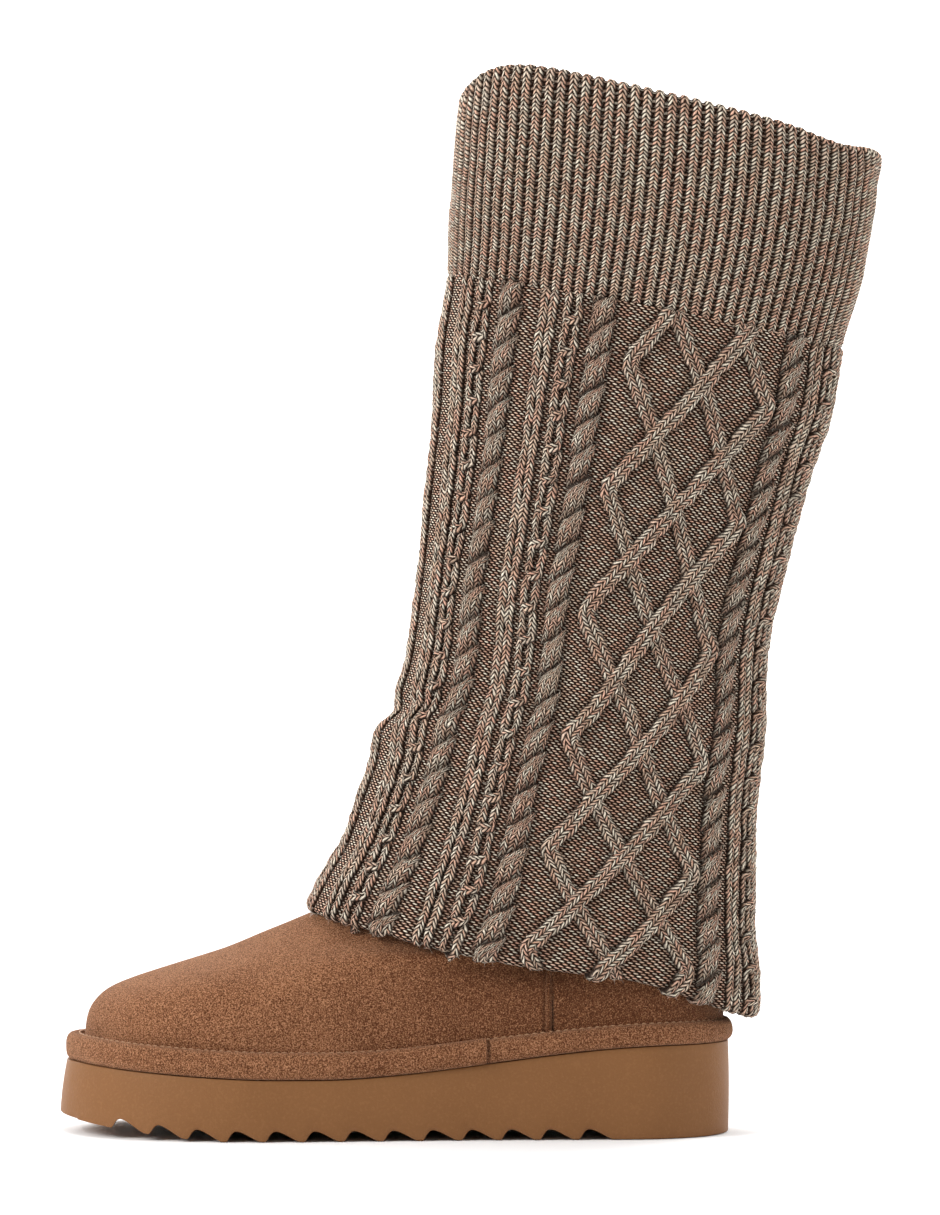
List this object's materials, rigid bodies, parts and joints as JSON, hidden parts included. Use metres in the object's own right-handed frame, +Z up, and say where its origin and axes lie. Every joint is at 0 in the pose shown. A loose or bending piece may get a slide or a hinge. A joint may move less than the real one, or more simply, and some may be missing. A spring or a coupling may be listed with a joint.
{
  "type": "tall knit-shaft platform boot",
  "caption": "Left tall boot with a saw-tooth foam platform, suede foot and stitched band, and a cable-knit shaft with a folded rib cuff.",
  "frame": {"origin": "on the floor, on the heel block's flat underside", "axes": "+Z up from the floor, -X towards the toe, -Y towards the outer side of the left foot"},
  "size_m": [0.3276, 0.1071, 0.4225],
  "materials": {
    "foam": "matt moulded foam",
    "suede": "napped suede",
    "fleece": "short fleece",
    "knit": "marled wool knit"
  },
  "bodies": {
    "root": {"platform": "foam", "band": "suede", "upper": "suede", "insole": "fleece", "shaft": "knit"}
  },
  "joints": []
}
